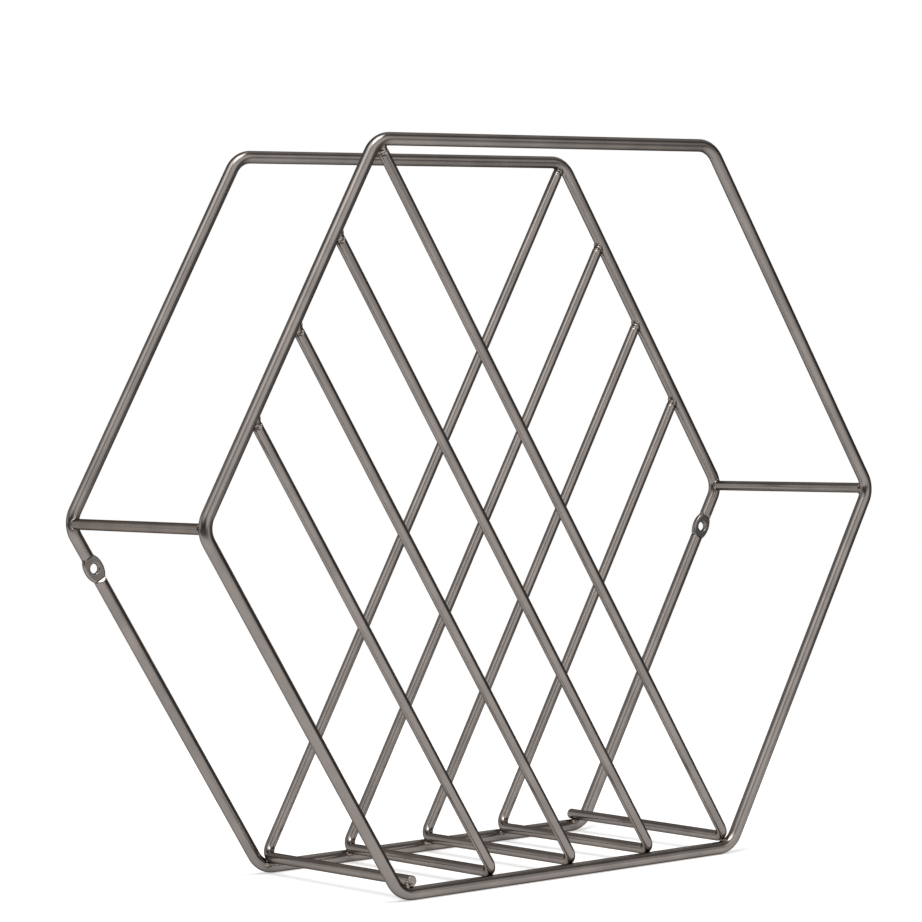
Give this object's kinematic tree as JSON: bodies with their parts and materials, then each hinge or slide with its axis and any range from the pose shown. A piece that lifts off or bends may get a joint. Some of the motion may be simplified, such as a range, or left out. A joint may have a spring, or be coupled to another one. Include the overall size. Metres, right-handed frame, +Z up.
{
  "type": "periodical display rack",
  "caption": "Open hexagonal wire rack that holds magazines upright between two bent-rod hexagons, with slanting wires across both faces and eyelets for a wall.",
  "frame": {"origin": "on the floor under the middle of the rack, halfway between the two bottom rails", "axes": "+X to the right along the rails seen from the front, +Y from the front hexagon to the rear one, +Z up"},
  "size_m": [0.388, 0.12, 0.34],
  "materials": {
    "plated_rod": "satin gunmetal plating on round steel rod and wire",
    "weld_metal": "small fillet weld beads under the same plating, slightly rougher"
  },
  "bodies": {
    "root": {"front_hexagon": "plated_rod", "rear_hexagon": "plated_rod", "left_spacer": "plated_rod", "right_spacer": "plated_rod", "left_end_wire": "plated_rod", "left_cradle_wire": "plated_rod", "middle_cradle_wire": "plated_rod", "right_cradle_wire": "plated_rod", "right_end_wire": "plated_rod", "front_left_spacer_weld": "weld_metal", "rear_left_spacer_weld": "weld_metal", "front_right_spacer_weld": "weld_metal", "rear_right_spacer_weld": "weld_metal", "front_rail_weld_1": "weld_metal", "rear_rail_weld_1": "weld_metal", "front_rail_weld_2": "weld_metal", "rear_rail_weld_2": "weld_metal", "front_rail_weld_3": "weld_metal", "rear_rail_weld_3": "weld_metal", "front_rail_weld_4": "weld_metal", "rear_rail_weld_4": "weld_metal", "front_rail_weld_5": "weld_metal", "rear_rail_weld_5": "weld_metal", "front_leg_weld_2": "weld_metal", "front_leg_weld_3": "weld_metal", "front_leg_weld_4": "weld_metal", "front_leg_weld_5": "weld_metal", "rear_leg_weld_1": "weld_metal", "rear_leg_weld_2": "weld_metal", "rear_leg_weld_3": "weld_metal", "rear_leg_weld_4": "weld_metal"}
  },
  "joints": []
}
